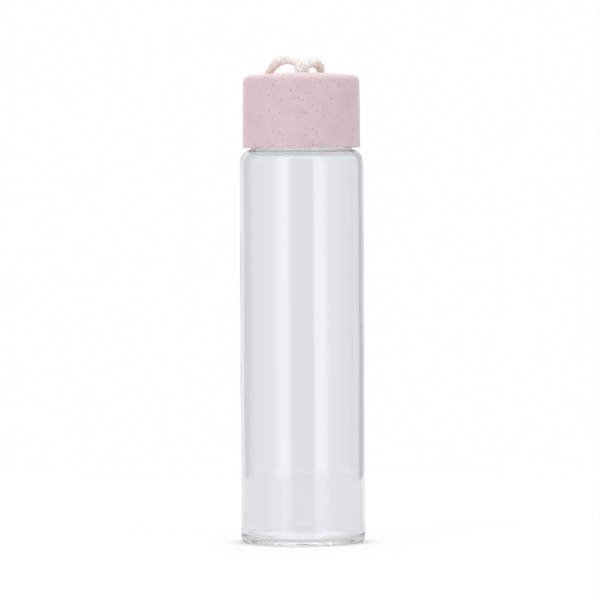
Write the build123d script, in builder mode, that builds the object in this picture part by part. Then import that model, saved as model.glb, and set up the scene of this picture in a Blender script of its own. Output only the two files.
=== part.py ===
"""Straight-sided glass drinking bottle with a two-part screw lid and a cord loop.

Lengths are in millimetres. The origin is the centre of the base, +Z is the
bottle's axis, and the side that faces -Y is the front.
"""

from build123d import *
import math
import os

os.makedirs("parts", exist_ok=True)

# Glass body
body_radius = 31.0
glass_wall = 2.5
body_height = 188.2
shoulder_height = 8.0
heel_radius = 3.0
standing_ring_width = 1.8
punt_rise = 1.2
punt_sag = 0.3
floor_thickness = 2.0
floor_dip = 1.1
inner_heel_radius = 2.8
punt_crown_share = 0.72

# Glass neck
shoulder_width = 6.6
shoulder_wall = 2.2
collar_step = 0.8
collar_height = 1.8
collar_edge_radius = 0.6
collar_fillet = 0.6
neck_wall = 2.4
neck_height = 17.8
rim_edge_radius = 0.7

# Screw thread, one right-hand start
thread_lead = 5.0
thread_turns = 1.4
thread_height = 1.1
thread_root_width = 3.0
thread_crest_width = 1.1
thread_root_overlap = 0.4
thread_first_rise = 6.8
thread_radial_clearance = 0.3
thread_axial_clearance = 0.3
fade_step_share = 0.022
fade_height_shares = (1.0, 0.86, 0.5, -0.1)

# Lid shell
lid_gap = 1.1
lid_height = 35.6
lid_draft = 0.35
lid_corner_radius = 3.3
lid_crown = 1.9
lid_wall = 1.9
lid_top_thickness = 2.2
lid_inner_corner_radius = 1.5
lid_edge_radius = 0.5
lid_step = 0.9
cord_hole_radius = 5.6
cord_hole_edge_radius = 0.8

# Ribs and snap bead between shell and liner
rib_count = 54
rib_width = 1.2
rib_height = 0.5
rib_length = 9.0
rib_clearance = 0.1
bead_height = 0.35
bead_width = 1.4
bead_rise = 4.0

# Liner and seal
liner_wall = 1.55
fit_clearance = 0.15
liner_recess = 1.3
liner_floor = 2.0
seal_thickness = 2.0
seal_overlap = 0.8
seal_clearance = 0.3
plug_ring_wall = 1.2
plug_ring_depth = 1.6
plug_lip = 0.7
plug_lip_height = 0.7
plug_lip_clearance = 0.1
seal_edge_radius = 0.3

# Cord and its knot
cord_diameter = 4.8
knot_turns = 1.5
knot_pitch = 5.0
knot_squeeze = 0.2
knot_tail = 1.2
knot_seat = 0.4

# Overrun of every cut
cut_overrun = 1.0

# Heights worked out from the sizes above
shoulder_top = body_height + shoulder_height
collar_top = shoulder_top + collar_fillet + collar_height
rim_height = shoulder_top + neck_height
lid_bottom = shoulder_top + lid_gap
lid_edge_height = lid_bottom + lid_height
seal_top = rim_height + seal_thickness
liner_top = seal_top + liner_floor
liner_bottom = lid_bottom + liner_recess
lid_underside = lid_edge_height - lid_top_thickness

# Radii worked out from the sizes above
inner_radius = body_radius - glass_wall
neck_radius = body_radius - shoulder_width
collar_radius = neck_radius + collar_step
bore_radius = neck_radius - neck_wall
thread_crest_radius = neck_radius + thread_height
liner_inner_radius = thread_crest_radius + thread_radial_clearance
liner_outer_radius = liner_inner_radius + liner_wall
shell_inner_radius = liner_outer_radius + fit_clearance
step_radius = shell_inner_radius - lid_step
lid_bottom_radius = shell_inner_radius + lid_wall
lid_top_radius = lid_bottom_radius - lid_draft
cord_radius = cord_diameter / 2

# The cord's centre line, from the knot up through the hole, over the left
# arch, down behind the lid, and back over the right arch to the knot.
cord_route = [
    (-0.6, -2.4, 232.2),
    (-0.6, -2.4, 236.4),
    (-1.6, 0.0, 239.9),
    (-4.9, 6.2, 241.6),
    (-8.6, 12.4, 242.1),
    (-12.0, 18.0, 240.6),
    (-14.7, 22.8, 238.1),
    (-17.1, 26.4, 234.2),
    (-19.3, 26.1, 229.2),
    (-19.2, 25.9, 222.6),
    (-16.8, 27.6, 216.7),
    (-12.3, 29.9, 212.5),
    (-6.1, 31.7, 210.9),
    (0.4, 32.3, 212.2),
    (5.7, 31.8, 216.1),
    (8.8, 31.1, 221.9),
    (9.8, 30.9, 228.1),
    (9.9, 31.5, 232.3),
    (10.0, 29.8, 235.6),
    (9.8, 26.3, 237.6),
    (9.3, 21.6, 238.6),
    (8.1, 16.8, 239.9),
    (6.0, 12.0, 240.3),
    (2.9, 5.1, 239.1),
    (1.7, 2.4, 236.1),
    (1.7, 2.4, 232.2),
]


def tube_radii(points):
    """Radius of the arc at each inner point: as large as its two runs allow."""
    arc_share = 0.45
    radii = []
    for before, here, after in zip(points, points[1:], points[2:]):
        incoming = Vector(*here) - Vector(*before)
        outgoing = Vector(*after) - Vector(*here)
        half_turn = math.radians(incoming.get_angle(outgoing)) / 2
        shorter = min(incoming.length, outgoing.length)
        radii.append(arc_share * shorter / math.tan(half_turn))
    return radii


def nearest_corner(sketch, radius, height):
    """Corner of a section that lies nearest to the radius and height."""
    return sketch.vertices().sort_by_distance((radius, height))[0]


def axial_plane(turn):
    """Plane through the axis at a number of turns, with radius and height as x and y."""
    angle = math.tau * turn
    return Plane(
        origin=(0, 0, 0),
        x_dir=(math.cos(angle), math.sin(angle), 0),
        z_dir=(math.sin(angle), -math.cos(angle), 0),
    )


def ridge_corners(root_radius, crest_radius, height, height_share):
    """Corners of a thread's section, whose flanks run on into the wall behind the root."""
    flank_slope = (thread_root_width - thread_crest_width) / thread_height / 2
    sunk_radius = root_radius - math.copysign(thread_root_overlap, crest_radius - root_radius)
    sunk_half_width = thread_root_width / 2 + flank_slope * thread_root_overlap
    crest_half_width = thread_crest_width / 2
    crest = root_radius + (crest_radius - root_radius) * height_share
    return [
        (sunk_radius, height - sunk_half_width),
        (crest, height - crest_half_width),
        (crest, height + crest_half_width),
        (sunk_radius, height + sunk_half_width),
    ]


def make_thread(root_radius, crest_radius, start_height):
    """Ridge along a helix on the wall at the root radius, fading into it at both ends."""
    with BuildPart() as ridge:
        with BuildLine() as path:
            Helix(thread_lead, thread_lead * thread_turns, root_radius, center=(0, 0, start_height))
        with BuildSketch(axial_plane(0)):
            with BuildLine():
                Polyline(ridge_corners(root_radius, crest_radius, start_height, 1), close=True)
            make_face()
        sweep(path=path.line, is_frenet=True)
        for end_turn, way in ((0, -1), (thread_turns, 1)):
            for step, height_share in enumerate(fade_height_shares):
                turn = end_turn + way * step * fade_step_share
                height = start_height + thread_lead * turn
                corners = ridge_corners(root_radius, crest_radius, height, height_share)
                with BuildSketch(axial_plane(turn)):
                    with BuildLine():
                        Polyline(corners, close=True)
                    make_face()
            loft()
    return ridge.part


# Glass bottle
punt_crown_radius = inner_radius * punt_crown_share
ring_outer_radius = body_radius - heel_radius
ring_inner_radius = ring_outer_radius - standing_ring_width
floor_height = punt_rise + floor_thickness
shoulder_centre = collar_radius + collar_fillet
inner_neck_radius = shoulder_centre - bore_radius
inner_shoulder_top = shoulder_top - shoulder_wall
bore_bottom = inner_shoulder_top + inner_neck_radius
heel_floor_height = floor_height - floor_dip
thread_start = shoulder_top + thread_first_rise
glass_thread = make_thread(neck_radius, thread_crest_radius, thread_start)

with BuildPart() as glass_bottle:
    with BuildSketch(Plane.XZ):
        with BuildLine():
            punt = TangentArc(
                (0, punt_rise), (punt_crown_radius, punt_rise - punt_sag), tangent=(1, 0)
            )
            TangentArc(punt @ 1, (ring_inner_radius, 0), tangent=punt % 1)
            Line((ring_inner_radius, 0), (ring_outer_radius, 0))
            TangentArc((ring_outer_radius, 0), (body_radius, heel_radius), tangent=(1, 0))
            Line((body_radius, heel_radius), (body_radius, body_height))
            EllipticalCenterArc(
                (shoulder_centre, body_height),
                body_radius - shoulder_centre,
                shoulder_height,
                start_angle=0,
                arc_size=90,
            )
            TangentArc(
                (shoulder_centre, shoulder_top),
                (collar_radius, shoulder_top + collar_fillet),
                tangent=(-1, 0),
            )
            Line(
                (collar_radius, shoulder_top + collar_fillet),
                (collar_radius, collar_top - collar_edge_radius),
            )
            TangentArc(
                (collar_radius, collar_top - collar_edge_radius),
                (collar_radius - collar_edge_radius, collar_top),
                tangent=(0, 1),
            )
            Line((collar_radius - collar_edge_radius, collar_top), (neck_radius, collar_top))
            Line((neck_radius, collar_top), (neck_radius, rim_height - rim_edge_radius))
            TangentArc(
                (neck_radius, rim_height - rim_edge_radius),
                (neck_radius - rim_edge_radius, rim_height),
                tangent=(0, 1),
            )
            Line((neck_radius - rim_edge_radius, rim_height), (bore_radius + rim_edge_radius, rim_height))
            TangentArc(
                (bore_radius + rim_edge_radius, rim_height),
                (bore_radius, rim_height - rim_edge_radius),
                tangent=(-1, 0),
            )
            Line((bore_radius, rim_height - rim_edge_radius), (bore_radius, bore_bottom))
            TangentArc(
                (bore_radius, bore_bottom),
                (shoulder_centre, inner_shoulder_top),
                tangent=(0, -1),
            )
            EllipticalCenterArc(
                (shoulder_centre, body_height),
                inner_radius - shoulder_centre,
                inner_shoulder_top - body_height,
                start_angle=0,
                arc_size=90,
            )
            Line((inner_radius, body_height), (inner_radius, heel_floor_height + inner_heel_radius))
            TangentArc(
                (inner_radius, heel_floor_height + inner_heel_radius),
                (inner_radius - inner_heel_radius, heel_floor_height),
                tangent=(0, -1),
            )
            dome = TangentArc(
                (0, floor_height), (punt_crown_radius, floor_height - punt_sag), tangent=(1, 0)
            )
            Line(dome @ 1, (inner_radius - inner_heel_radius, heel_floor_height))
            Line((0, punt_rise), (0, floor_height))
        make_face()
    revolve(axis=Axis.Z)
    add(glass_thread)

glass_bottle.part.label = "glass_bottle"
export_step(glass_bottle.part, "parts/glass_bottle.step")


# Lid shell
lid_top = lid_edge_height + lid_crown
bead_level = liner_bottom + bead_rise
groove_radius = liner_outer_radius + bead_height + fit_clearance

with BuildPart() as lid_shell:
    with BuildSketch(Plane.XZ) as shell_section:
        with BuildLine():
            outer_crown = TangentArc((0, lid_top), (lid_top_radius, lid_edge_height), tangent=(1, 0))
            inner_crown = TangentArc(
                (0, lid_top - lid_top_thickness), (step_radius, lid_underside), tangent=(1, 0)
            )
            Line((0, lid_top - lid_top_thickness), (0, lid_top))
            Polyline(
                outer_crown @ 1,
                (lid_bottom_radius, lid_bottom),
                (shell_inner_radius, lid_bottom),
                (shell_inner_radius, bead_level - bead_width / 2),
                (groove_radius, bead_level),
                (shell_inner_radius, bead_level + bead_width / 2),
                (shell_inner_radius, liner_top),
                (step_radius, liner_top),
                inner_crown @ 1,
            )
        make_face()
        Rectangle(cord_hole_radius, lid_top, align=Align.MIN, mode=Mode.SUBTRACT)
        fillet(nearest_corner(shell_section, cord_hole_radius, lid_top), cord_hole_edge_radius)
        fillet(nearest_corner(shell_section, lid_top_radius, lid_edge_height), lid_corner_radius)
        fillet(nearest_corner(shell_section, step_radius, lid_underside), lid_inner_corner_radius)
        fillet(nearest_corner(shell_section, lid_bottom_radius, lid_bottom), lid_edge_radius)
    revolve(axis=Axis.Z)
    with BuildSketch(Plane.XY.offset(liner_top - rib_length)):
        with PolarLocations(shell_inner_radius, rib_count):
            Rectangle(rib_height * 2, rib_width)
    extrude(amount=rib_length)

lid_shell.part.label = "lid_shell"
export_step(lid_shell.part, "parts/lid_shell.step")

# Lid liner
plug_radius = bore_radius - seal_overlap - seal_clearance
plug_bottom = rim_height - plug_ring_depth
lip_top = rim_height - plug_lip_clearance
liner_crest_radius = neck_radius + thread_radial_clearance
flank_spread = (thread_root_width - thread_crest_width) / thread_height
meshing_depth = liner_inner_radius - neck_radius
ridge_pair_width = thread_root_width * 2 - flank_spread * meshing_depth
liner_thread_start = thread_start - ridge_pair_width / 2 - thread_axial_clearance
liner_thread = make_thread(liner_inner_radius, liner_crest_radius, liner_thread_start)

with BuildPart() as lid_liner:
    with BuildSketch(Plane.XZ):
        with BuildLine():
            Polyline(
                (0, liner_top),
                (liner_outer_radius, liner_top),
                (liner_outer_radius, bead_level + bead_width / 2),
                (liner_outer_radius + bead_height, bead_level),
                (liner_outer_radius, bead_level - bead_width / 2),
                (liner_outer_radius, liner_bottom),
                (liner_inner_radius, liner_bottom),
                (liner_inner_radius, seal_top),
                (plug_radius, seal_top),
                (plug_radius, lip_top),
                (plug_radius + plug_lip, lip_top - plug_lip_height / 2),
                (plug_radius, lip_top - plug_lip_height),
                (plug_radius, plug_bottom),
                (plug_radius - plug_ring_wall, plug_bottom),
                (plug_radius - plug_ring_wall, seal_top),
                (0, seal_top),
                close=True,
            )
        make_face()
    revolve(axis=Axis.Z)
    add(liner_thread)
    with BuildSketch(Plane.XY.offset(liner_top - rib_length - rib_clearance)):
        with PolarLocations(shell_inner_radius, rib_count):
            Rectangle((rib_height + rib_clearance) * 2, rib_width + rib_clearance * 2)
    extrude(amount=rib_length + rib_clearance + cut_overrun, mode=Mode.SUBTRACT)

lid_liner.part.label = "lid_liner"
export_step(lid_liner.part, "parts/lid_liner.step")

# Seal ring
seal_inner_radius = bore_radius - seal_overlap
seal_outer_radius = neck_radius + seal_overlap

with BuildPart() as seal_ring:
    with BuildSketch(Plane.XZ) as seal_section:
        with BuildLine():
            Polyline(
                (seal_inner_radius, rim_height),
                (seal_outer_radius, rim_height),
                (seal_outer_radius, seal_top),
                (seal_inner_radius, seal_top),
                close=True,
            )
        make_face()
        fillet(seal_section.vertices(), seal_edge_radius)
    revolve(axis=Axis.Z)

seal_ring.part.label = "seal_ring"
export_step(seal_ring.part, "parts/seal_ring.step")

# Cord loop
cord_radii = tube_radii(cord_route)

with BuildPart() as carry_cord:
    with BuildLine() as cord_line:
        FilletPolyline(cord_route, radius=cord_radii)
    with BuildSketch(Plane(origin=cord_line.line @ 0, z_dir=cord_line.line % 0)):
        Circle(cord_radius)
    sweep(path=cord_line.line)

carry_cord.part.label = "carry_cord"
export_step(carry_cord.part, "parts/carry_cord.step")

# Stopper knot: both strands run through the middle, wrapped one and a half times
knot_top = lid_top - lid_top_thickness - knot_seat
strand_a = Vector(*cord_route[0])
strand_b = Vector(*cord_route[-1])
knot_centre = (strand_a + strand_b) / 2
strand_offset = (strand_b - strand_a).length / 2
wrap_half_length = strand_offset + cord_diameter - knot_squeeze
wrap_half_width = cord_diameter - knot_squeeze
wrap_plane = Plane(
    origin=(knot_centre.X, knot_centre.Y, knot_top - cord_radius),
    x_dir=strand_b - strand_a,
    z_dir=(0, 0, -1),
)
steps_per_turn = 8
knot_steps = round(steps_per_turn * knot_turns)
knot_depth = knot_pitch * knot_turns + cord_diameter
wrap_points = []
for step in range(knot_steps + 1):
    turn_angle = math.tau * step / steps_per_turn
    wrap_points.append(
        (
            wrap_half_length * math.cos(turn_angle),
            wrap_half_width * math.sin(turn_angle),
            knot_pitch * step / steps_per_turn,
        )
    )
wrap_route = [wrap_plane.from_local_coords(point) for point in wrap_points]

with BuildPart() as stopper_knot:
    with BuildSketch(Plane.XY.offset(knot_top)):
        with Locations((strand_a.X, strand_a.Y), (strand_b.X, strand_b.Y)):
            Circle(cord_radius)
    extrude(amount=-(knot_depth + knot_tail))
    with BuildLine() as wrap_line:
        FilletPolyline(wrap_route, radius=tube_radii(wrap_route))
    with BuildSketch(Plane(origin=wrap_line.line @ 0, z_dir=wrap_line.line % 0)):
        Circle(cord_radius)
    sweep(path=wrap_line.line)

stopper_knot.part.label = "stopper_knot"
export_step(stopper_knot.part, "parts/stopper_knot.step")

section_area = math.pi * cord_radius**2
cord_length = cord_line.wire().length
print("cord length", round(cord_length, 1))
print("cord arc radii", [round(radius, 1) for radius in cord_radii])
tube_volume = section_area * cord_length
print("cord volume over section times length", round(carry_cord.part.volume / tube_volume, 4))
print("knot arc radii", [round(radius, 1) for radius in tube_radii(wrap_route)])
for piece in (glass_bottle, lid_shell, lid_liner, seal_ring, carry_cord, stopper_knot):
    print(piece.part.label, "solids", len(piece.part.solids()), "volume", round(piece.part.volume, 1))
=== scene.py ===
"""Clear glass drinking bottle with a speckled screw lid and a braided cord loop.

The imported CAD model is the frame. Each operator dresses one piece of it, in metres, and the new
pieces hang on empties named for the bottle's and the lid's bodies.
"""

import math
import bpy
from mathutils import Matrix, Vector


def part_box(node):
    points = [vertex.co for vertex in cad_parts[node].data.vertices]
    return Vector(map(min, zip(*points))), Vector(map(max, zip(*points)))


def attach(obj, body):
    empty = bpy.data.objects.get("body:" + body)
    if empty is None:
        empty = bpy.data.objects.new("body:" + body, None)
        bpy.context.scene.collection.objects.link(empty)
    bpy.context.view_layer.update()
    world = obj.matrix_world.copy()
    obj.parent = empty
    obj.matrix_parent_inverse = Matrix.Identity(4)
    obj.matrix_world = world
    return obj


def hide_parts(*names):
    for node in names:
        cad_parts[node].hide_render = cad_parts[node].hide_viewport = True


bl_info = {
    "name": "Glass bottle with a cord loop",
    "version": (1, 0, 0),
    "blender": (4, 5, 0),
    "location": "3D View > Sidebar > Bottle",
    "description": "Builds a clear glass bottle with a speckled screw lid and a braided cord loop",
    "category": "Add Mesh",
}

import bpy
import numpy as np
from bpy.props import FloatProperty, FloatVectorProperty, IntProperty, PointerProperty
from mathutils import Matrix, Vector

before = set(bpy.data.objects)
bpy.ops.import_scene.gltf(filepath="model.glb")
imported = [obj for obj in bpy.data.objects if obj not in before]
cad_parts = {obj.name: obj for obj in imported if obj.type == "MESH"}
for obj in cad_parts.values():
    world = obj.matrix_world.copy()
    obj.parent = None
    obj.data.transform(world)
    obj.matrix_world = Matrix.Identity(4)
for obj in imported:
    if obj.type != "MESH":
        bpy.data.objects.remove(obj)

MM = 0.001
PICTURE_WIDTH = 600
SENSOR_WIDTH = 36.0

# The ribs inside the lid, and the heights over which they begin and end
LID_RIBS = 54
RIBS_BEGIN = (207 * MM, 210 * MM)
RIBS_END = (217 * MM, 219 * MM)

# The cord's route in millimetres, from the knot up through the hole, over the left arch, down
# behind the lid and back over the right arch, with how full the braid is at each point.
CORD_ROUTE = [
    (-0.6, -2.4, 232.2, 1.00),
    (-0.6, -2.4, 236.4, 1.00),
    (-1.6, 0.0, 239.9, 1.03),
    (-4.9, 6.2, 241.6, 1.09),
    (-8.6, 12.4, 242.1, 1.14),
    (-12.0, 18.0, 240.6, 1.12),
    (-14.7, 22.8, 238.1, 1.02),
    (-17.1, 26.4, 234.2, 0.92),
    (-19.3, 26.1, 229.2, 0.90),
    (-19.2, 25.9, 222.6, 0.94),
    (-16.8, 27.6, 216.7, 1.00),
    (-12.3, 29.9, 212.5, 1.00),
    (-6.1, 31.7, 210.9, 1.00),
    (0.4, 32.3, 212.2, 1.00),
    (5.7, 31.8, 216.1, 1.00),
    (8.8, 31.1, 221.9, 0.97),
    (9.8, 30.9, 228.1, 0.92),
    (9.9, 31.5, 232.3, 0.90),
    (10.0, 29.8, 235.6, 0.93),
    (9.8, 26.3, 237.6, 1.02),
    (9.3, 21.6, 238.6, 1.08),
    (8.1, 16.8, 239.9, 1.13),
    (6.0, 12.0, 240.3, 1.12),
    (2.9, 5.1, 239.1, 1.04),
    (1.7, 2.4, 236.1, 1.00),
    (1.7, 2.4, 232.2, 1.00),
]


# Sizes and colours that a user would change


class GlassSettings(bpy.types.PropertyGroup):
    wall: FloatProperty(
        name="Wall", description="Thickness of the body's wall", default=2.5 * MM, unit="LENGTH"
    )
    waviness: FloatProperty(
        name="Waviness",
        description="How far the inside of the wall wanders, as blown glass does",
        default=0.05 * MM,
        unit="LENGTH",
        precision=5,
    )
    tint: FloatVectorProperty(
        name="Tint",
        description="Colour that light takes on in one wall",
        subtype="COLOR",
        default=(0.975, 0.98, 0.98),
    )
    edge_tint: FloatVectorProperty(
        name="Edge tint",
        description="Colour that shows where light runs a long way inside the glass",
        subtype="COLOR",
        default=(0.71, 0.74, 0.68),
    )
    edge_density: FloatProperty(
        name="Edge density",
        description="How soon the edge tint shows inside the glass",
        default=4.5,
    )
    segments: IntProperty(name="Segments", description="Facets round the axis", default=264)


class LidSettings(bpy.types.PropertyGroup):
    colour: FloatVectorProperty(
        name="Colour",
        description="Ground colour of the moulded shell",
        subtype="COLOR",
        default=(0.695, 0.540, 0.562),
    )
    speck_colour: FloatVectorProperty(
        name="Speck colour",
        description="Colour of the darkest plant fibres in the plastic",
        subtype="COLOR",
        default=(0.38, 0.19, 0.24),
    )
    speck_share: FloatProperty(
        name="Speck share",
        description="Share of the cells that hold a speck",
        default=0.32,
        subtype="FACTOR",
    )
    liner_colour: FloatVectorProperty(
        name="Liner colour",
        description="Colour of the threaded insert",
        subtype="COLOR",
        default=(0.93, 0.92, 0.90),
    )
    seal_colour: FloatVectorProperty(
        name="Seal colour",
        description="Colour of the silicone ring",
        subtype="COLOR",
        default=(0.93, 0.92, 0.91),
    )


class CordSettings(bpy.types.PropertyGroup):
    diameter: FloatProperty(
        name="Diameter", description="Width over the braid", default=4.8 * MM, unit="LENGTH"
    )
    pitch: FloatProperty(
        name="Pitch",
        description="Length in which a strand goes once round the cord",
        default=16.0 * MM,
        unit="LENGTH",
    )
    strands: IntProperty(name="Strands", description="Strands that run each way", default=6)
    fibres: IntProperty(
        name="Fibres", description="Loose fibres that stand off the cord", default=450
    )
    colour: FloatVectorProperty(
        name="Colour",
        description="Colour of the clean yarn",
        subtype="COLOR",
        default=(0.925, 0.910, 0.890),
    )
    seed: IntProperty(name="Seed", description="Start of the yarn's unevenness", default=7)


class StageSettings(bpy.types.PropertyGroup):
    distance: FloatProperty(
        name="Camera distance",
        description="From the bottle's axis to the camera",
        default=2.25,
        unit="LENGTH",
    )
    eye_height: FloatProperty(
        name="Eye height",
        description="Camera's height over the floor",
        default=0.167,
        unit="LENGTH",
    )
    aim_height: FloatProperty(
        name="Aim height",
        description="Height on the bottle that fills the picture's middle",
        default=0.1211,
        unit="LENGTH",
    )
    aside: FloatProperty(
        name="Aside",
        description="How far left of the axis the camera stands",
        default=1.1 * MM,
        unit="LENGTH",
    )
    roll: FloatProperty(
        name="Roll",
        description="Camera's lean to the right",
        default=math.radians(0.28),
        subtype="ANGLE",
    )
    scale: FloatProperty(
        name="Scale", description="Picture points to a millimetre at the axis", default=2.0
    )
    floor_radius: FloatProperty(
        name="Floor radius", description="Radius of the pale table", default=0.58, unit="LENGTH"
    )
    overhead: FloatProperty(
        name="Overhead light", description="Radiance of the softbox over the bottle", default=1.45
    )
    backdrop: FloatVectorProperty(
        name="Backdrop",
        description="Colour of the backdrop that shows through the glass",
        subtype="COLOR",
        default=(0.83, 0.85, 0.893),
    )


# Shader maths


class Value:
    """A shader socket on which arithmetic adds Math nodes."""

    def __init__(self, shader, socket):
        self.shader = shader
        self.socket = socket

    def maths(self, operation, *others):
        return self.shader.add("ShaderNodeMath", {"operation": operation}, [self, *others])

    def __add__(self, other):
        return self.maths("ADD", other)

    __radd__ = __add__

    def __mul__(self, other):
        return self.maths("MULTIPLY", other)

    __rmul__ = __mul__

    def __sub__(self, other):
        return self.maths("SUBTRACT", other)

    def __rsub__(self, other):
        return self.shader.add("ShaderNodeMath", {"operation": "SUBTRACT"}, [other, self])

    def __truediv__(self, other):
        return self.maths("DIVIDE", other)

    def rise(self, low, high):
        """Smooth step from 0 at low to 1 at high."""
        return self.shader.add(
            "ShaderNodeMapRange",
            {"interpolation_type": "SMOOTHSTEP"},
            {"Value": self, "From Min": low, "From Max": high},
        )


class Shader:
    """Adds nodes to the tree of a material or a world."""

    def __init__(self, owner):
        owner.use_nodes = True
        self.tree = owner.node_tree
        self.tree.nodes.clear()

    def add(self, kind, settings=None, inputs=None, output=0):
        """Adds one node with its settings, then its inputs, and gives one of its outputs."""
        node = self.tree.nodes.new(kind)
        for name, value in (settings or {}).items():
            if name == "stops":
                self.set_stops(node.color_ramp, value)
            else:
                setattr(node, name, value)
        pairs = inputs.items() if isinstance(inputs, dict) else enumerate(inputs or [])
        for name, value in pairs:
            socket = node.inputs[name]
            if isinstance(value, Value):
                self.tree.links.new(value.socket, socket)
            elif socket.type == "RGBA" and len(value) == 3:
                socket.default_value = (*value, 1)
            else:
                socket.default_value = value
        return Value(self, node.outputs[output]) if node.outputs else None

    @staticmethod
    def set_stops(ramp, stops):
        """Gives a ramp its stops, each a place and a colour."""
        for place, shade in stops[len(ramp.elements):]:
            ramp.elements.new(place)
        for element, (place, shade) in zip(ramp.elements, stops):
            element.position = place
            element.color = (*shade, 1)

    def place(self, stretch=(1, 1, 1), turn=(0, 0, 0), shift=(0, 0, 0)):
        """The point on the object, in metres, stretched, turned and shifted."""
        point = self.add("ShaderNodeTexCoord", output="Object")
        return self.add(
            "ShaderNodeMapping",
            {},
            {"Vector": point, "Location": shift, "Rotation": turn, "Scale": stretch},
        )

    def attribute(self, name, output="Fac"):
        return self.add("ShaderNodeAttribute", {"attribute_name": name}, output=output)

    def noise(self, point, size, detail=2.0, roughness=0.5):
        """Cloudy noise from 0 to 1 whose features are about the size, in the point's unit."""
        return self.add(
            "ShaderNodeTexNoise",
            {},
            {"Vector": point, "Scale": 1 / size, "Detail": detail, "Roughness": roughness},
        )

    def cells(self, point, size, output):
        """The distance to, or a colour for, the nearest of points strewn about the size apart."""
        return self.add("ShaderNodeTexVoronoi", {}, {"Vector": point, "Scale": 1 / size}, output)

    def mix(self, share, base, over):
        """Colour that goes from base to over as the share goes from 0 to 1."""
        return self.add("ShaderNodeMix", {"data_type": "RGBA"}, {0: share, 6: base, 7: over}, 2)

    def split(self, vector, axis):
        return self.add("ShaderNodeSeparateXYZ", {}, [vector], axis)

    def bearing(self, vector):
        """Place round the upright axis from 0 to 1, with the front at a half."""
        front = self.split(vector, "Y") * -1
        return self.split(vector, "X").maths("ARCTAN2", front) / math.tau + 0.5

    def light_paths(self):
        """Shares, 0 or 1, of light seen directly, seen in or through glass, and seen mirrored."""
        seen, bent, glossy = (
            self.add("ShaderNodeLightPath", output=f"Is {kind} Ray")
            for kind in ("Camera", "Transmission", "Glossy")
        )
        scattered, mirrored = (
            self.add("ShaderNodeLightPath", output=f"{kind} Depth").maths("MINIMUM", 1)
            for kind in ("Diffuse", "Glossy")
        )
        return seen, bent.maths("MAXIMUM", glossy) * (1 - scattered), mirrored

    def bump(self, height, strength, distance):
        return self.add(
            "ShaderNodeBump", {}, {"Height": height, "Strength": strength, "Distance": distance}
        )

    def surface(self, inputs, **volume):
        """Ends the tree in a Principled surface with these inputs, and a volume where given."""
        shade = self.add("ShaderNodeBsdfPrincipled", {}, inputs)
        self.add("ShaderNodeOutputMaterial", {}, {"Surface": shade, **volume})


def new_material(name):
    material = bpy.data.materials.new(name)
    return material, Shader(material)


def toned(colour, tones):
    """The colour with each channel times its tone."""
    return tuple(channel * tone for channel, tone in zip(colour, tones))


def ring_stops(cards, full=1.0, tint=(1, 1, 1)):
    """Stops of a ramp round the bottle from light at angles, as shares of the full light."""
    return [
        (degrees / 360 + 0.5, tuple(channel * level / full for channel in tint))
        for degrees, level in cards
    ]


def clear_glass(look):
    """Clear glass with a faint grey tint, smeared, rippled on the body and scuffed at the foot."""
    material, shader = new_material("clear_glass")
    place = shader.place()
    height = shader.split(place, "Z")
    smears = shader.noise(shader.place(stretch=(1, 1, 0.35)), 11 * MM, 3).rise(0.58, 0.82)
    scuffs = shader.noise(place, 0.7 * MM, 3).rise(0.42, 0.62)
    foot = 1 - height.rise(0.2 * MM, 1.1 * MM)
    body = 1 - height.rise(176 * MM, 186 * MM)
    ripple = shader.noise(shader.place(stretch=(1, 1, 0.25)), 9 * MM, 1) * body
    inside = shader.add(
        "ShaderNodeVolumeAbsorption",
        {},
        {"Color": tuple(look.edge_tint), "Density": look.edge_density},
    )
    shader.surface(
        {
            "Base Color": tuple(look.tint),
            "Roughness": 0.004 + smears * 0.012 + foot * scuffs * 0.3,
            "IOR": 1.5,
            "Transmission Weight": 1.0,
            "Normal": shader.bump(ripple, 0.05, 0.4 * MM),
        },
        Volume=inside,
    )
    return material


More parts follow.
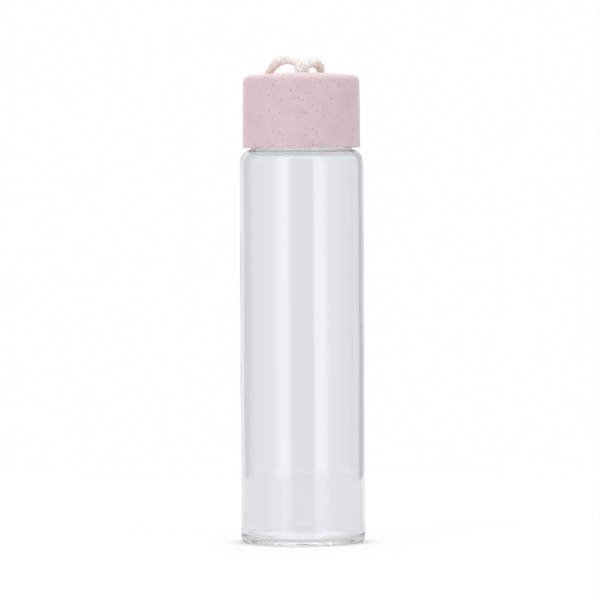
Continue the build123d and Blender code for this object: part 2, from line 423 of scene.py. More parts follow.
def speckled_plastic(look):
    """Matt moulded plastic with plant fibre in it and faint sinks over the ribs inside."""
    material, shader = new_material("speckled_plastic")
    place = shader.place()
    ground = tuple(look.colour)
    darker = toned(ground, (0.90, 0.87, 0.88))
    lighter = toned(ground, (1.07, 1.10, 1.09))
    clouds = shader.noise(place, 9 * MM, 4, 0.6)
    mottle = shader.noise(place, 1.3 * MM, 3, 0.65)
    colour = shader.mix(clouds.rise(0.32, 0.70) * 0.6, ground, darker)
    colour = shader.mix(mottle.rise(0.50, 0.78) * 0.5, colour, lighter)

    warp = shader.noise(place, 0.55 * MM, 2) * 0.5

    def specks(size, radius, share, **placing):
        """Mask of small grains, one in the share of cells, with uneven outlines and strength."""
        point = shader.place(**placing)
        near = shader.cells(point, size, "Distance") + (warp - 0.25) * 0.10
        lots = shader.cells(point, size, "Color")
        chance = shader.add("ShaderNodeSeparateColor", {}, [lots], 0)
        strength = shader.add("ShaderNodeSeparateColor", {}, [lots], 1)
        spot = 1 - near.rise(radius * 0.35, radius)
        return spot * (1 - chance.rise(share - 0.01, share + 0.01)) * (0.35 + strength * 0.65)

    grains = specks(1.8 * MM, 0.34, look.speck_share)
    dust = specks(
        1.0 * MM, 0.30, look.speck_share * 0.8, turn=(0.3, 0.5, 0.1), shift=(0.02, 0, 0)
    )
    fibres = specks(
        3.0 * MM, 0.13, 0.16, stretch=(1, 1, 0.36), turn=(0.5, 0.9, 0.2), shift=(0, 0.03, 0)
    )
    dashes = specks(
        3.2 * MM, 0.12, 0.15, stretch=(0.36, 0.36, 1), turn=(0.2, -0.6, 0.4), shift=(0, 0, 0.05)
    )
    for mask, strength in ((dust, 0.40), (grains, 0.72), (fibres, 0.55), (dashes, 0.55)):
        colour = shader.mix(mask * strength, colour, tuple(look.speck_colour))

    angle = shader.split(place, "Y").maths("ARCTAN2", shader.split(place, "X"))
    height = shader.split(place, "Z")
    sinks = (angle * LID_RIBS).maths("COSINE") * 0.5 + 0.5
    sinks = sinks * height.rise(*RIBS_BEGIN) * (1 - height.rise(*RIBS_END))
    grain = shader.noise(place, 0.16 * MM, 3, 0.7)
    relief = grain * 0.02 + mottle * 0.012 - sinks * 0.012 - grains * 0.012
    shader.surface(
        {
            "Base Color": colour,
            "Roughness": 0.46 + mottle * 0.12,
            "IOR": 1.56,
            "Sheen Weight": 0.25,
            "Sheen Roughness": 0.4,
            "Normal": shader.bump(relief, 0.55, 1 * MM),
        }
    )
    return material


def insert_plastic(look):
    """Plain off-white plastic of the threaded insert, with slight flow clouds."""
    material, shader = new_material("insert_plastic")
    place = shader.place()
    ground = tuple(look.liner_colour)
    darker = toned(ground, (0.93, 0.93, 0.93))
    clouds = shader.noise(place, 7 * MM, 3)
    grain = shader.noise(place, 0.2 * MM, 3, 0.65)
    shader.surface(
        {
            "Base Color": shader.mix(clouds.rise(0.35, 0.7), ground, darker),
            "Roughness": 0.36 + clouds * 0.14,
            "IOR": 1.49,
            "Normal": shader.bump(grain, 0.25, 0.05 * MM),
        }
    )
    return material


def seal_silicone(look):
    """Milky silicone with a faint dusty bloom."""
    material, shader = new_material("seal_silicone")
    place = shader.place()
    ground = tuple(look.seal_colour)
    dusty = toned(ground, (0.92, 0.92, 0.92))
    bloom = shader.noise(place, 2.5 * MM, 4, 0.6)
    shader.surface(
        {
            "Base Color": shader.mix(bloom.rise(0.45, 0.75), ground, dusty),
            "Roughness": 0.42 + bloom * 0.2,
            "IOR": 1.41,
            "Normal": shader.bump(bloom, 0.2, 0.05 * MM),
        }
    )
    return material


def cotton_yarn(look):
    """Off-white yarn: fibres along each strand, painted shade in the pits, and a warm tint that is
    partly random tone and partly painted bounce light from the lid on the low outer legs.
    """
    material, shader = new_material("cotton_yarn")
    place = shader.place()
    ground = tuple(look.colour)
    # Darker yarn: the colour of the painted shade in the pits, and the own tone of the fibres and
    # specks
    shade = toned(ground, (0.80, 0.72, 0.65))
    # Warm tint, used for random tone and for painted bounce light from the pink lid
    warm_tone_and_bounce = toned(ground, (0.97, 0.82, 0.68))
    fibres = shader.noise(shader.attribute("yarn_place", "Vector"), 0.16, 3, 0.6)
    lint = shader.noise(place, 0.5 * MM, 3, 0.65)
    pits = shader.attribute("pit")
    specks = shader.noise(place, 0.32 * MM, 2, 0.6).rise(0.64, 0.74)
    # Share of the warm tint: random clouds of tone, plus painted bounce light from the lid on the
    # low outer legs
    low = 1 - shader.split(place, "Z").rise(233 * MM, 241 * MM)
    outer = (shader.split(place, "X") + 3.5 * MM).maths("ABSOLUTE").rise(7 * MM, 12 * MM)
    tone_and_bounce_share = shader.noise(place, 6 * MM, 2).rise(0.42, 0.64) * 0.30 + low * outer * 0.85
    colour = shader.mix(tone_and_bounce_share, ground, warm_tone_and_bounce)
    # Painted shade: darker deep in the braid's pits
    colour = shader.mix(pits.rise(0.15, 1.0) * 0.25, colour, shade)
    colour = shader.mix(fibres.rise(0.52, 0.80) * 0.30, colour, shade)
    colour = shader.mix(specks * 0.15, colour, shade)
    shader.surface(
        {
            "Base Color": colour,
            "Roughness": 0.82 + lint * 0.12,
            "IOR": 1.45,
            "Sheen Weight": 0.35,
            "Sheen Roughness": 0.5,
            "Normal": shader.bump(fibres + lint * 1.1, 0.8, 0.12 * MM),
        }
    )
    return material


def floor_paint():
    """Plain pale floor with a painted contact shadow round the bottle's foot. The glass shows it as
    grey as the backdrop, mirrors it with painted light by angle, and sees a painted glow under the
    bottle.
    """
    material, shader = new_material("pale_floor")
    place = shader.place()
    paint = shader.mix(shader.noise(place, 0.08, 2), (0.812, 0.812, 0.812), (0.820, 0.820, 0.820))
    away = shader.add("ShaderNodeVectorMath", {"operation": "LENGTH"}, [place], "Value")
    # Painted contact shadow round the bottle's foot
    shade = 1 - away.rise(28 * MM, 46 * MM)
    paint = shader.mix(shade * shade * 0.85, paint, (0.60, 0.60, 0.57))
    _, in_glass, mirrored = shader.light_paths()
    # Painted light by angle, seen only where the glass mirrors the floor further off
    cards = shader.add(
        "ShaderNodeValToRGB", {"stops": ring_stops(FLOOR_PAINTED_CARDS)}, [shader.bearing(place)]
    )
    through = shader.mix(mirrored * away.rise(60 * MM, 150 * MM), FLOOR_SEEN, cards)
    # Under the bottle, seen through the glass, the floor is black with a painted glow for the light
    # that comes through the glass, dimmer as painted shade in the ring that the foot mirrors
    under = (1 - away.rise(36 * MM, 44 * MM)) * in_glass
    foot = away.rise(17 * MM, 21 * MM) * (1 - away.rise(31 * MM, 33 * MM)) * mirrored
    glow = shader.mix(foot, FLOOR_PAINTED_GLOW, FLOOR_PAINTED_FOOT_SHADE)
    shader.surface(
        {
            "Base Color": shader.mix(under, shader.mix(in_glass, paint, through), (0, 0, 0)),
            "Roughness": 0.9,
            "Specular IOR Level": 0.1,
            "Emission Color": shader.mix(under, (0, 0, 0), glow),
            "Emission Strength": 1.0,
        }
    )
    return material


# Mesh code


def new_piece(name, points, faces, material, body, attributes=None):
    """A smooth-shaded mesh object that rides on a body."""
    mesh = bpy.data.meshes.new(name)
    mesh.from_pydata(np.asarray(points).tolist(), [], faces)
    mesh.polygons.foreach_set("use_smooth", [True] * len(mesh.polygons))
    for label, values in (attributes or {}).items():
        values = np.asarray(values, dtype=np.float32)
        kind, field = ("FLOAT_VECTOR", "vector") if values.ndim == 2 else ("FLOAT", "value")
        layer = mesh.attributes.new(label, kind, "POINT")
        layer.data.foreach_set(field, values.ravel())
    mesh.materials.append(material)
    mesh.update()
    piece = bpy.data.objects.new(name, mesh)
    bpy.context.scene.collection.objects.link(piece)
    if body:
        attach(piece, body)
    return piece


def join_meshes(meshes):
    """One set of points, faces and attributes from several."""
    faces, start = [], 0
    for points, own_faces, _ in meshes:
        faces.extend(tuple(corner + start for corner in face) for face in own_faces)
        start += len(points)
    attributes = {
        label: np.concatenate([mesh[2][label] for mesh in meshes]) for label in meshes[0][2]
    }
    return np.concatenate([mesh[0] for mesh in meshes]), faces, attributes


def ease(share):
    """Smooth step of shares that run from 0 to 1."""
    return share * share * (3 - 2 * share)


def arc(centre, radii, start, end, steps):
    """Points of an elliptical arc in a section, between two angles in degrees."""
    angles = np.radians(np.linspace(start, end, steps + 1))
    return [
        (centre[0] + radii[0] * math.cos(angle), centre[1] + radii[1] * math.sin(angle))
        for angle in angles
    ]


def curve_between(start, end, start_slope, end_slope, steps):
    """Points of a smooth curve between two points of a section, with a slope at each."""
    run = end[0] - start[0]
    points = []
    for share in np.linspace(0, 1, steps + 1):
        rest = 1 - share
        height = (
            start[1] * (1 + 2 * share) * rest**2
            + end[1] * (1 + 2 * rest) * share**2
            + run * share * rest * (start_slope * rest - end_slope * share)
        )
        points.append((start[0] + run * share, height))
    return points


def fill_section(corners, spacing=6, hold=0.25):
    """Section points with each long run divided, and a point close to each of its ends."""
    points = [corners[0]]
    for before, here in zip(corners, corners[1:]):
        length = math.dist(before, here)
        if length < hold / 4:
            continue
        places = [1.0]
        if length > hold * 4:
            count = max(2, round(length / spacing) + 1)
            places = [*np.linspace(hold / length, 1 - hold / length, count), 1.0]
        for share in places:
            points.append(tuple(a + (b - a) * share for a, b in zip(before, here)))
    return points


def turned_faces(rows, columns):
    """Faces between closed rings of points, with a pole beyond the first and the last ring."""
    faces = []
    first_pole = rows * columns
    last = first_pole - columns
    for column in range(columns):
        beside = (column + 1) % columns
        faces.append((first_pole, beside, column))
        for here in range(0, last, columns):
            above = here + columns
            faces.append((here + column, here + beside, above + beside, above + column))
        faces.append((last + column, last + beside, first_pole + 1))
    return faces


def wander(angle, height, seed, count=14):
    """Gentle unevenness over a turned wall, mostly between -1 and 1 and without a seam."""
    random = np.random.default_rng(seed)
    total = np.zeros(np.broadcast(angle, height).shape)
    for _ in range(count):
        turns = random.integers(1, 7)
        tilt = random.normal(0, 45)
        phase = random.uniform(0, math.tau)
        total += np.cos(turns * angle + tilt * height + phase)
    return total / math.sqrt(count * 2)


# The bottle's sizes that the frame doesn't give, in millimetres. A point in the section is a
# radius and a height.
PUNT_TOP = (0, 1.2)
PUNT_EDGE = (20.5, 0.9)
PUNT_SLOPE = -0.029
FOOT_EDGE = (26.2, 0.05)
FOOT_SLOPE = -0.22
FOOT_CENTRE = (26.5, 0.35)
FILLET = (0.35, 0.35)
HEEL_CENTRE = (28, 3)
HEEL_RADII = (3, 3)
FLOOR_TOP = (0, 3.2)
FLOOR_EDGE = (20.5, 2.9)
FLOOR_LOW = (25.7, 2.1)
FLOOR_SLOPE = -0.10
INNER_HEEL_CENTRE = (25.7, 4.9)
SHOULDER = (25.8, 188.2)
SHOULDER_RISE = 8
INNER_SHOULDER_RISE = 5.8
COLLAR_FOOT = (25.8, 196.8)
COLLAR_TOP = (24.6, 198.0)
COLLAR_RADII = (0.6, 0.6)
INNER_NECK_CENTRE = (25.8, 197.8)
INNER_NECK_RADII = (3.8, 3.8)
NECK_RADIUS = 24.4
NECK_WALL = 2.4
NECK_FOOT = (24.45, 198.6)
NECK_FILLET_CENTRE = (24.75, 198.95)
NECK_STRAIGHT = 200.6
LIP_RADIUS = 0.7
THREAD = {"lead": 5.0, "turns": 1.4, "start": 203.0, "height": 1.1, "root": 3.0, "crest": 1.1}
THREAD_FADE = 0.066
THREAD_ROWS = (200.75, 212.7, 0.24)
# The heights between which the inside of the wall wanders, and how soon it does so
WAVY = (9, 186)
WAVY_FADE = 12
# Air film between the rim and the seal, so that light meets one surface and then the other
RIM_GAP = 0.02


def thread_height(angle, height):
    """How far the glass thread stands out at an angle and height, rounded as moulded glass is."""
    out = np.zeros(np.broadcast(angle, height).shape)
    turn = np.mod(angle / math.tau, 1.0)
    for lap in (-1, 0, 1):
        place = turn + lap
        level = THREAD["start"] + THREAD["lead"] * place
        flank = (THREAD["root"] - THREAD["crest"]) / 2
        across = ease(np.clip((THREAD["root"] / 2 - np.abs(height - level)) / flank, 0, 1))
        overrun = np.maximum(-place, place - THREAD["turns"])
        ending = ease(np.clip(1 - overrun / THREAD_FADE, 0, 1))
        out = np.maximum(out, THREAD["height"] * across * ending)
    return out


def glass_outside(radius):
    """Section of the outside, from the middle of the punt up to where the thread begins."""
    return [
        *curve_between(PUNT_TOP, PUNT_EDGE, 0, PUNT_SLOPE, 12),
        *curve_between(PUNT_EDGE, FOOT_EDGE, PUNT_SLOPE, FOOT_SLOPE, 10),
        *arc(FOOT_CENTRE, FILLET, 225, 270, 4),
        *arc(HEEL_CENTRE, HEEL_RADII, -90, 0, 14),
        *arc(SHOULDER, (radius - SHOULDER[0], SHOULDER_RISE), 0, 90, 24),
        *arc(COLLAR_FOOT, COLLAR_RADII, 270, 180, 14),
        *arc(COLLAR_TOP, COLLAR_RADII, 0, 90, 14),
        NECK_FOOT,
        *arc(NECK_FILLET_CENTRE, FILLET, 270, 180, 8),
        (NECK_RADIUS, NECK_STRAIGHT),
    ]


def glass_inside(inner, rim):
    """Section of the rim and the inside, from the neck's top down to the middle of the floor."""
    lip = (LIP_RADIUS, LIP_RADIUS)
    neck_top = rim - LIP_RADIUS
    bore = NECK_RADIUS - NECK_WALL
    heel_radii = (inner - FLOOR_LOW[0], INNER_HEEL_CENTRE[1] - FLOOR_LOW[1])
    return [
        *arc((NECK_RADIUS - LIP_RADIUS, neck_top), lip, 0, 90, 8),
        *arc((bore + LIP_RADIUS, neck_top), lip, 90, 180, 8),
        *arc(INNER_NECK_CENTRE, INNER_NECK_RADII, 180, 270, 14),
        *arc(SHOULDER, (inner - SHOULDER[0], INNER_SHOULDER_RISE), 90, 0, 16),
        *arc(INNER_HEEL_CENTRE, heel_radii, 0, -90, 16),
        *curve_between(FLOOR_LOW, FLOOR_EDGE, 0, FLOOR_SLOPE, 8),
        *curve_between(FLOOR_EDGE, FLOOR_TOP, FLOOR_SLOPE, 0, 14),
    ]


class BOTTLE_OT_blow_glass(bpy.types.Operator):
    """Blow the clear glass body with its punt, heel, shoulder, collar, threaded neck and rim"""

    bl_idname = "bottle.blow_glass"
    bl_label = "Blow the glass"

    def execute(self, context):
        look = context.scene.bottle_glass
        low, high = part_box("glass_bottle")
        radius = (high[0] - low[0]) / 2 / MM
        rim = high[2] / MM - RIM_GAP
        threaded = ((NECK_RADIUS, height) for height in np.arange(*THREAD_ROWS))
        outside = [*glass_outside(radius), *threaded]
        inside = glass_inside(radius - look.wall / MM, rim)
        section = np.array(fill_section([*outside, *inside]))
        rows = section[1:-1]
        columns = look.segments
        angle = np.linspace(0, math.tau, columns, endpoint=False)[None, :]
        reach = np.repeat(rows[:, :1], columns, axis=1)
        level = np.repeat(rows[:, 1:], columns, axis=1)
        is_inside = (np.arange(len(rows)) >= len(fill_section(outside)))[:, None]
        fade = np.clip(np.minimum(level - WAVY[0], WAVY[1] - level) / WAVY_FADE, 0, 1)
        drift = fade * wander(angle, level * MM, 3) * look.waviness / MM
        reach = reach + np.where(is_inside, drift, thread_height(angle, level))
        rings = np.stack([reach * np.cos(angle), reach * np.sin(angle), level], axis=-1)
        poles = [(0, 0, section[0][1]), (0, 0, section[-1][1])]
        points = np.concatenate([rings.reshape(-1, 3), poles]) * MM
        glass = new_piece(
            "bottle_glass", points, turned_faces(len(rows), columns), clear_glass(look), "bottle"
        )
        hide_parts("glass_bottle")
        return {"FINISHED"}


# The cord


def read_line(route, name):
    """Points of the smooth NURBS line through a route, as Blender lays it."""
    curve = bpy.data.curves.new(name, "CURVE")
    curve.dimensions = "3D"
    spline = curve.splines.new("NURBS")
    spline.points.add(len(route) - 1)
    for control, point in zip(spline.points, route):
        control.co = (*[coordinate * MM for coordinate in point[:3]], 1)
    spline.order_u = 3
    spline.use_endpoint_u = True
    spline.resolution_u = 32
    guide = bpy.data.objects.new(name, curve)
    bpy.context.scene.collection.objects.link(guide)
    bpy.context.view_layer.update()
    mesh = bpy.data.meshes.new_from_object(guide)
    points = np.array([vertex.co[:] for vertex in mesh.vertices])
    bpy.data.objects.remove(guide)
    bpy.data.meshes.remove(mesh)
    bpy.data.curves.remove(curve)
    return points


def even_points(points, spacing):
    """The line's points at an even spacing, with how far along the line each is."""
    steps = np.linalg.norm(np.diff(points, axis=0), axis=1)
    along = np.concatenate([[0], np.cumsum(steps)])
    keep = np.concatenate([[True], np.diff(along) > 0])
    places = np.linspace(0, along[-1], round(along[-1] / spacing) + 1)
    line = [np.interp(places, along[keep], points[keep, axis]) for axis in range(3)]
    return np.stack(line, axis=1), places


def line_frames(line):
    """Two directions across a line, carried along it without twist."""
    tangents = np.gradient(line, axis=0)
    tangents /= np.linalg.norm(tangents, axis=1)[:, None]
    side = np.cross(tangents[0], (0.3, 0.9, 0.1))
    sides = []
    for tangent in tangents:
        side = side - tangent * np.dot(side, tangent)
        side = side / np.linalg.norm(side)
        sides.append(side)
    sides = np.array(sides)
    return sides, np.cross(tangents, sides)


def tube_mesh(rings):
    """Points and faces of one closed tube through rings of points."""
    poles = [rings[0].mean(axis=0), rings[-1].mean(axis=0)]
    return np.concatenate([rings.reshape(-1, 3), poles]), turned_faces(*rings.shape[:2])


# The braid's make-up, as shares of the cord's radius
BRAID_CORE = 0.72
STRAND_MIDDLE = 0.66
STRAND_SWING = 0.135
STRAND_WIDTH = 1.75
STRAND_DEPTH = 0.185
PLIES = 3
PLY_DEPTH = 0.07
PLY_TWIST = 6 * MM
# How far into the braid the painted shade of the pits grows
PIT_DEPTH = 0.45
# The strands in the noise of their fibres: how far it is drawn out, and how far apart they lie
YARN_STRETCH = 0.22
YARN_APART = 3.7
# Loose fibres: where they begin, as a share of the cord's radius, and their millimetres of length
FIBRE_ROOT = 0.80
FIBRE_LENGTHS = (0.2, 0.5)


def braid(line, places, fullness, look, seed, sides=12):
    """Points, faces and attributes of flat strands that cross over and under round a core."""
    random = np.random.default_rng(seed)
    normals, binormals = line_frames(line)
    full_radius = look.diameter / 2
    around = np.linspace(0, math.tau, sides, endpoint=False)
    strands = []

    def lay(centres, width, depth, outward, across, pit_level, twist):
        ply = 1 + PLY_DEPTH * np.cos(PLIES * (around[None, :] - twist[:, None]))
        rings = (
            centres[:, None, :]
            + (np.cos(around)[None, :] * ply * width[:, None])[..., None] * across[:, None, :]
            + (np.sin(around)[None, :] * ply * depth[:, None])[..., None] * outward[:, None, :]
        )
        points, faces = tube_mesh(rings)
        # How deep each point lies in the braid, for the painted shade in the pits
        away = np.linalg.norm(rings - line[:, None, :], axis=2) / (full_radius * fullness[:, None])
        pits = np.clip((pit_level - away) / PIT_DEPTH, 0, 1).ravel()
        place = np.stack(
            [
                np.repeat(places / MM * YARN_STRETCH, sides),
                np.tile(np.cos(around), len(line)) + len(strands) * YARN_APART,
                np.tile(np.sin(around), len(line)),
            ],
            axis=1,
        )
        attributes = {
            "pit": np.concatenate([pits, [0.5, 0.5]]),
            "yarn_place": np.concatenate([place, place[:1], place[-1:]]),
        }
        strands.append((points, faces, attributes))

    def uneven(count, spread):
        """Random unevenness along the line, drawn at the count of places on it."""
        marks = np.linspace(0, places[-1], count)
        return np.interp(places, marks, random.normal(0, spread, count))

    core = BRAID_CORE * full_radius * fullness
    lay(line, core, core, binormals, normals, 1.0, np.zeros(len(line)))
    for way in (1, -1):
        for strand in range(look.strands):
            phase = math.tau * strand / look.strands + random.normal(0, 0.05)
            turn = way * math.tau * places / look.pitch + phase + uneven(18, 0.09)
            lift = way * np.cos(look.strands * math.tau * places / look.pitch)
            size = full_radius * fullness * (1 + uneven(46, 0.05))
            reach = full_radius * (STRAND_MIDDLE + STRAND_SWING * lift) * fullness
            outward = np.cos(turn)[:, None] * normals + np.sin(turn)[:, None] * binormals
            centres = line + outward * reach[:, None]
            heading = np.gradient(centres, axis=0)
            heading /= np.linalg.norm(heading, axis=1)[:, None]
            across = np.cross(outward, heading)
            across /= np.linalg.norm(across, axis=1)[:, None]
            outward = np.cross(heading, across)
            width = STRAND_WIDTH / look.strands * size
            twist = math.tau * places / PLY_TWIST
            lay(centres, width, STRAND_DEPTH * size, outward, across, 0.98, twist)
    return join_meshes(strands)


def loose_fibres(line, fullness, look, seed, sides=3, rings=4):
    """Points, faces and attributes of short bent fibres that stand off the braid."""
    random = np.random.default_rng(seed)
    normals, binormals = line_frames(line)
    around = np.linspace(0, math.tau, sides, endpoint=False)
    shares = np.linspace(0, 1, rings)[:, None]
    thickness = (0.030 - 0.022 * shares)[:, :, None] * MM
    fibres = []
    for _ in range(look.fibres):
        index = random.integers(2, len(line) - 2)
        angle = random.uniform(0, math.tau)
        outward = np.cos(angle) * normals[index] + np.sin(angle) * binormals[index]
        root = line[index] + outward * look.diameter / 2 * fullness[index] * FIBRE_ROOT
        heading = random.normal(0, 0.7, 3) + outward * 1.3
        heading /= np.linalg.norm(heading)
        bend = random.uniform(-0.5, 0.5, 3)
        length = random.uniform(*FIBRE_LENGTHS) * MM
        bone = root + (heading * shares + bend * shares**2) * length
        side = np.cross(heading, (0.31, 0.52, 0.80))
        side /= np.linalg.norm(side)
        other = np.cross(heading, side)
        ring = np.cos(around)[:, None] * side + np.sin(around)[:, None] * other
        points, faces = tube_mesh(bone[:, None, :] + ring[None, :, :] * thickness)
        fibres.append((points, faces, {"pit": np.zeros(len(points)), "yarn_place": points / MM}))
    return join_meshes(fibres)


def yarn_material(context):
    return bpy.data.materials.get("cotton_yarn") or cotton_yarn(context.scene.bottle_cord)


class BOTTLE_OT_lay_cord(bpy.types.Operator):
    """Lay the braided cord from the knot over its two arches and down behind the lid"""

    bl_idname = "bottle.lay_cord"
    bl_label = "Lay the cord"

    def execute(self, context):
        look = context.scene.bottle_cord
        line, places = even_points(read_line(CORD_ROUTE, "cord_line"), 0.3 * MM)
        route = np.array(CORD_ROUTE)
        runs = np.linalg.norm(np.diff(route[:, :3], axis=0), axis=1)
        marks = np.concatenate([[0], np.cumsum(runs)])
        fullness = np.interp(places / places[-1], marks / marks[-1], route[:, 3])
        strands = braid(line, places, fullness, look, look.seed)
        loose = loose_fibres(line, fullness, look, look.seed + 1)
        points, faces, attributes = join_meshes([strands, loose])
        cord = new_piece("cord_loop", points, faces, yarn_material(context), "lid", attributes)
        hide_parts("carry_cord")
        return {"FINISHED"}


# The knot's wrap round the two strands: how far it is pulled into them, and how steeply it winds
KNOT_SQUEEZE = 0.35 * MM
KNOT_TURNS = 1.5
KNOT_LEAD = 5.0 * MM
KNOT_FULLNESS = 0.97


class BOTTLE_OT_tie_knot(bpy.types.Operator):
    """Tie the cord's two ends into the stopper knot inside the lid"""

    bl_idname = "bottle.tie_knot"
    bl_label = "Tie the knot"

    def execute(self, context):
        look = context.scene.bottle_cord
        low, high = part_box("stopper_knot")
        ends = np.array([CORD_ROUTE[0][:2], CORD_ROUTE[-1][:2]]) * MM
        apart = np.linalg.norm(ends[1] - ends[0])
        lengthwise = (ends[1] - ends[0]) / apart
        sideways = np.array([lengthwise[1], -lengthwise[0]])
        half_width = look.diameter - KNOT_SQUEEZE
        angles = np.linspace(0, math.tau * KNOT_TURNS, 160)
        flat = (
            ends.mean(axis=0)
            + np.cos(angles)[:, None] * (half_width + apart / 2) * lengthwise
            + np.sin(angles)[:, None] * half_width * sideways
        )
        drop = high[2] - look.diameter / 2 - KNOT_LEAD * angles / math.tau
        runs = [np.column_stack([flat, drop])]
        for end in ends:
            runs.append(np.array([(*end, high[2]), (*end, low[2])]))
        braids = []
        for number, run in enumerate(runs):
            line, places = even_points(run, 0.4 * MM)
            fullness = np.full(len(line), KNOT_FULLNESS)
            braids.append(braid(line, places, fullness, look, look.seed + 1 + number))
        points, faces, attributes = join_meshes(braids)
        points[:, 2] = np.clip(points[:, 2], low[2], high[2])
        knot = new_piece("cord_knot", points, faces, yarn_material(context), "lid", attributes)
        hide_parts("stopper_knot")
        return {"FINISHED"}


class BOTTLE_OT_finish_lid(bpy.types.Operator):
    """Give the shell its speckled plastic, the insert its plain plastic, the seal its silicone"""

    bl_idname = "bottle.finish_lid"
    bl_label = "Finish the lid"

    def execute(self, context):
        look = context.scene.bottle_lid
        for node, material in (
            ("lid_shell", speckled_plastic(look)),
            ("lid_liner", insert_plastic(look)),
            ("seal_ring", seal_silicone(look)),
        ):
            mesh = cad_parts[node].data
            mesh.materials.clear()
            mesh.materials.append(material)
        return {"FINISHED"}


# The stage

FLOOR_SIDES = 128
# Light from round about the bottle: angle from the front in degrees, left negative, and radiance.
# The room lights the matt pieces, and the cards are what the glass mirrors.
FULL_LIGHT = 3.0
ROOM_LIGHT = [
    (-180, 1.00),
    (-140, 0.98),
    (-110, 0.72),
    (-58, 0.60),
    (-50, 1.90),
    (-28, 1.90),
    (-20, 0.35),
    (20, 0.33),
    (28, 1.70),
    (42, 1.70),
    (50, 0.55),
    (110, 0.72),
    (140, 0.98),
    (180, 1.00),
]
GLASS_CARDS = [
    (-180, 0.95),
    (-165, 0.75),
    (-150, 0.85),
    (-140, 0.55),
    (-128, 0.36),
    (-112, 0.42),
    (-94, 0.62),
    (-60, 0.60),
    (-48, 1.45),
    (-30, 1.45),
    (-21, 0.32),
    (19, 0.32),
    (24, 1.30),
    (41, 1.30),
    (54, 0.50),
    (96, 0.45),
    (110, 0.50),
    (125, 0.58),
    (136, 0.52),
    (146, 0.52),
    (157, 0.55),
    (168, 0.80),
    (180, 0.95),
]
# The floor as the glass shows it: round about, under the bottle, and mirrored in the foot. Under
# the bottle it glows with painted light, with painted shade in the ring that the foot mirrors
FLOOR_SEEN = (0.637, 0.650, 0.683)
FLOOR_PAINTED_GLOW = (0.77, 0.785, 0.815)
FLOOR_PAINTED_FOOT_SHADE = (0.62, 0.63, 0.605)
# Painted light and shade on the floor where the glass mirrors it further off, by the same angles as
# the light: brighter at the softboxes, darker between
FLOOR_PAINTED_CARDS = [
    (-180, 0.76),
    (-130, 0.58),
    (-64, 0.56),
    (-48, 0.95),
    (-32, 0.95),
    (-20, 0.45),
    (18, 0.45),
    (26, 0.92),
    (42, 0.92),
    (56, 0.56),
    (130, 0.56),
    (180, 0.76),
]


def studio_light(settings):
    """White light round about. Glass shows a grey backdrop and mirrors the cards instead."""
    world = bpy.data.worlds.new("studio")
    bpy.context.scene.world = world
    shader = Shader(world)
    towards = shader.add("ShaderNodeTexCoord", output="Generated")
    around = shader.bearing(towards)
    height = shader.split(towards, "Z")

    def room_of(cards, tint, softbox):
        """Light from cards round about, given at angles from the front, and a softbox overhead."""
        stops = ring_stops(cards, FULL_LIGHT, tint)
        level = shader.add("ShaderNodeValToRGB", {"stops": stops}, [around])
        above = tuple(channel * settings.overhead / FULL_LIGHT for channel in softbox)
        return shader.mix(height.rise(0.45, 0.80), level, above)

    room = room_of(ROOM_LIGHT, (1, 1, 1), (1, 1, 1))
    cards = room_of(GLASS_CARDS, (1.0, 1.03, 1.08), (1.41, 1.5, 1.59))
    seen, in_glass, mirrored = shader.light_paths()
    backdrop = tuple(channel / FULL_LIGHT for channel in settings.backdrop)
    backdrop = shader.mix(height.rise(0.03, 0.22), backdrop, toned(backdrop, (0.70, 0.70, 0.70)))
    light = shader.mix(in_glass, room, shader.mix(mirrored, backdrop, cards))
    light = shader.mix(seen, light, (0.99 / FULL_LIGHT,) * 3)
    surface = shader.add("ShaderNodeBackground", {}, {"Color": light, "Strength": FULL_LIGHT})
    shader.add("ShaderNodeOutputWorld", {}, {"Surface": surface})
    world.cycles.sampling_method = "MANUAL"
    world.cycles.sample_map_resolution = 512


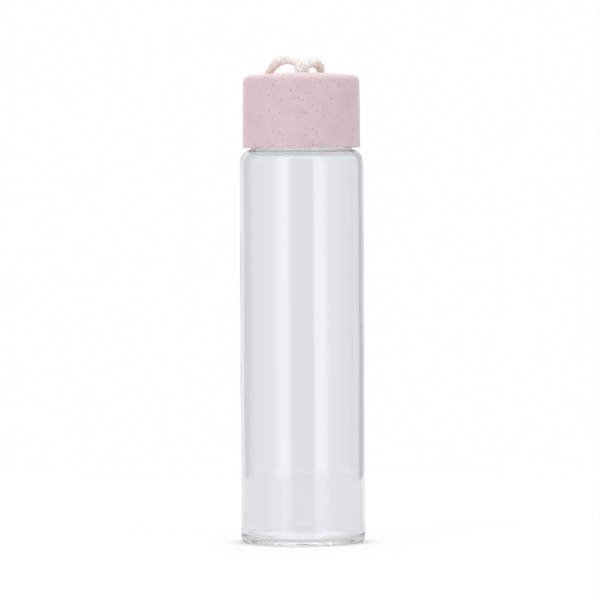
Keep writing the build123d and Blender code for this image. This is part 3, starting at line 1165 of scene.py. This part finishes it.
class BOTTLE_OT_set_stage(bpy.types.Operator):
    """Set the camera, the pale floor and the soft studio light"""

    bl_idname = "bottle.set_stage"
    bl_label = "Set the stage"

    def execute(self, context):
        stage = context.scene.bottle_stage
        lens = bpy.data.cameras.new("camera")
        lens.sensor_width = SENSOR_WIDTH
        lens.lens = stage.scale * stage.distance / MM * SENSOR_WIDTH / PICTURE_WIDTH
        lens.clip_start = 0.05
        lens.clip_end = 20
        camera = bpy.data.objects.new("camera", lens)
        context.scene.collection.objects.link(camera)
        camera.location = (-stage.aside, -stage.distance, stage.eye_height)
        aim = Vector((-stage.aside, 0, stage.aim_height)) - camera.location
        level = aim.to_track_quat("-Z", "Y").to_matrix()
        lean = Matrix.Rotation(-stage.roll, 3, "Z")
        camera.rotation_euler = (level @ lean).to_euler()
        context.scene.camera = camera

        studio_light(stage)
        around = np.linspace(0, math.tau, FLOOR_SIDES, endpoint=False)
        rim = np.column_stack([np.cos(around), np.sin(around), np.zeros(FLOOR_SIDES)])
        points = np.concatenate([rim * stage.floor_radius, [(0, 0, 0)]])
        faces = [(side, (side + 1) % FLOOR_SIDES, FLOOR_SIDES) for side in range(FLOOR_SIDES)]
        floor = new_piece("floor", points, faces, floor_paint(), None)

        context.scene.view_settings.view_transform = "Standard"
        cycles = context.scene.cycles
        cycles.max_bounces = 64
        cycles.transmission_bounces = 48
        cycles.glossy_bounces = 48
        cycles.diffuse_bounces = 10
        cycles.blur_glossy = 0.0
        return {"FINISHED"}


class BOTTLE_PT_steps(bpy.types.Panel):
    """Lists the bottle's settings and steps in the sidebar"""

    bl_idname = "BOTTLE_PT_steps"
    bl_label = "Glass bottle"
    bl_space_type = "VIEW_3D"
    bl_region_type = "UI"
    bl_category = "Bottle"

    def draw(self, context):
        for group, settings in SETTINGS.items():
            box = self.layout.box()
            for name in settings.__annotations__:
                box.prop(getattr(context.scene, group), name)
        for step in STEPS:
            self.layout.operator(step.bl_idname)


SETTINGS = {
    "bottle_glass": GlassSettings,
    "bottle_lid": LidSettings,
    "bottle_cord": CordSettings,
    "bottle_stage": StageSettings,
}
STEPS = (
    BOTTLE_OT_set_stage,
    BOTTLE_OT_tie_knot,
    BOTTLE_OT_lay_cord,
    BOTTLE_OT_blow_glass,
    BOTTLE_OT_finish_lid,
)


def register():
    for kind in (*SETTINGS.values(), *STEPS, BOTTLE_PT_steps):
        bpy.utils.register_class(kind)
    for group, settings in SETTINGS.items():
        setattr(bpy.types.Scene, group, PointerProperty(type=settings))


def unregister():
    for group in SETTINGS:
        delattr(bpy.types.Scene, group)
    for kind in reversed((*SETTINGS.values(), *STEPS, BOTTLE_PT_steps)):
        bpy.utils.unregister_class(kind)


def main():
    register()
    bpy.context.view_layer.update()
    bpy.ops.bottle.set_stage()
    bpy.ops.bottle.tie_knot()
    bpy.ops.bottle.lay_cord()
    bpy.ops.bottle.blow_glass()
    bpy.ops.bottle.finish_lid()


if __name__ == "__main__":
    main()
